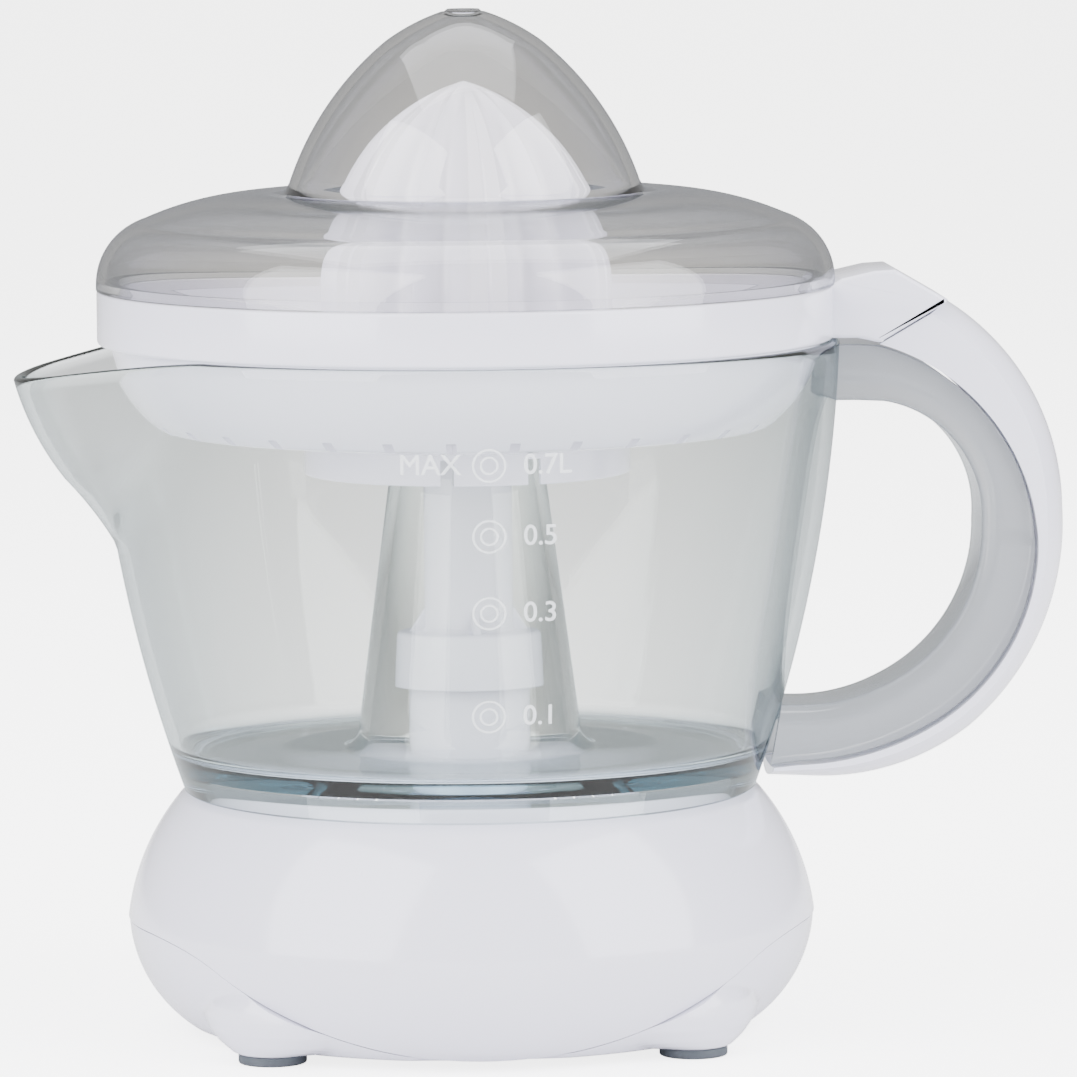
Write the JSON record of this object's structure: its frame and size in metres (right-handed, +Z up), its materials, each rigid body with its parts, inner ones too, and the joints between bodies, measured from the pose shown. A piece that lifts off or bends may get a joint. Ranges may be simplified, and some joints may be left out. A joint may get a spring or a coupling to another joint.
{
  "type": "citrus press",
  "caption": "Electric citrus press with a white motor base, a clear jug with spout and handle, a slotted strainer, a ribbed reamer and a clear domed dust cover.",
  "frame": {"origin": "on the spindle's axis at the level of the feet's undersides", "axes": "+Z up along the spindle; +X towards the handle; -X towards the spout; -Y towards the front with the volume scale"},
  "size_m": [0.2121, 0.1506, 0.2063],
  "materials": {
    "clear_plastic": "gloss",
    "white_plastic": "gloss",
    "rubber": "matt",
    "steel": "satin",
    "zinc_steel": "satin",
    "bronze": "satin",
    "gear_plastic": "matt",
    "magnet": "matt",
    "laminations": "matt",
    "winding": "gloss",
    "black_plastic": "matt",
    "red_plastic": "matt"
  },
  "bodies": {
    "base": {"upper_housing": "white_plastic", "bottom_tray": "white_plastic", "rubber_feet": "rubber", "tray_screws": "zinc_steel", "cord_gland": "black_plastic", "gear_plate": "zinc_steel", "plate_screws": "zinc_steel", "lower_bush": "bronze", "upper_bush": "bronze", "intermediate_axle": "steel", "stator_core": "laminations", "bobbin_inner": "white_plastic", "bobbin_outer": "white_plastic", "winding_inner": "winding", "winding_outer": "winding", "motor_bracket_upper": "zinc_steel", "motor_bracket_lower": "zinc_steel", "motor_bushes": "bronze", "motor_screws": "zinc_steel", "microswitch": "black_plastic"},
    "jug": {"jug": "clear_plastic", "handle_cover": "white_plastic"},
    "strainer": {"strainer": "white_plastic"},
    "reamer": {"reamer": "white_plastic"},
    "lid": {"dust_cover": "clear_plastic"},
    "output": {"output_gear": "gear_plastic", "return_spring": "steel"},
    "spindle": {"drive_spindle": "white_plastic", "drive_shaft": "steel", "shaft_circlip": "steel"},
    "intermediate": {"intermediate_gear": "gear_plastic"},
    "rotor": {"rotor_magnet": "magnet", "motor_shaft": "steel", "motor_pinion": "bronze"},
    "switch": {"switch_plunger": "red_plastic"}
  },
  "joints": [
    {"name": "jug_lift", "type": "slide", "parent": "base", "child": "jug", "axis": [0, 0, 1], "range_m": [0, 0.115]},
    {"name": "strainer_lift", "type": "slide", "parent": "jug", "child": "strainer", "axis": [0, 0, 1], "range_m": [0, 0.05]},
    {"name": "lid_lift", "type": "slide", "parent": "strainer", "child": "lid", "axis": [0, 0, 1], "range_m": [0, 0.05]},
    {"name": "gear_spin", "type": "hinge", "parent": "base", "child": "output", "pos_m": [0, 0, 0.04], "axis": [0, 0, 1], "continuous": true},
    {"name": "reamer_spin", "type": "hinge", "parent": "strainer", "child": "reamer", "pos_m": [0, 0, 0.14], "axis": [0, 0, 1], "continuous": true},
    {"name": "spindle_press", "type": "slide", "parent": "output", "child": "spindle", "axis": [0, 0, 1], "range_m": [-0.0025, 0], "stiffness_N_per_m": 2500, "springref_m": 0.0015, "deforming": ["return_spring"]},
    {"name": "intermediate_spin", "type": "hinge", "parent": "base", "child": "intermediate", "pos_m": [-0.03443, -0.01052, 0.036], "axis": [0, 0, 1], "continuous": true},
    {"name": "rotor_spin", "type": "hinge", "parent": "base", "child": "rotor", "pos_m": [-0.01799, -0.03195, 0.0175], "axis": [0, 0, 1], "continuous": true},
    {"name": "switch_press", "type": "slide", "parent": "base", "child": "switch", "axis": [0, 0, 1], "range_m": [-0.0025, 0]}
  ],
  "couplings": [
    {"joint": "reamer_spin", "follows": "gear_spin", "ratio": 1},
    {"joint": "intermediate_spin", "follows": "gear_spin", "ratio": -6.5},
    {"joint": "rotor_spin", "follows": "gear_spin", "ratio": 42.25},
    {"joint": "switch_press", "follows": "spindle_press", "ratio": 1}
  ]
}
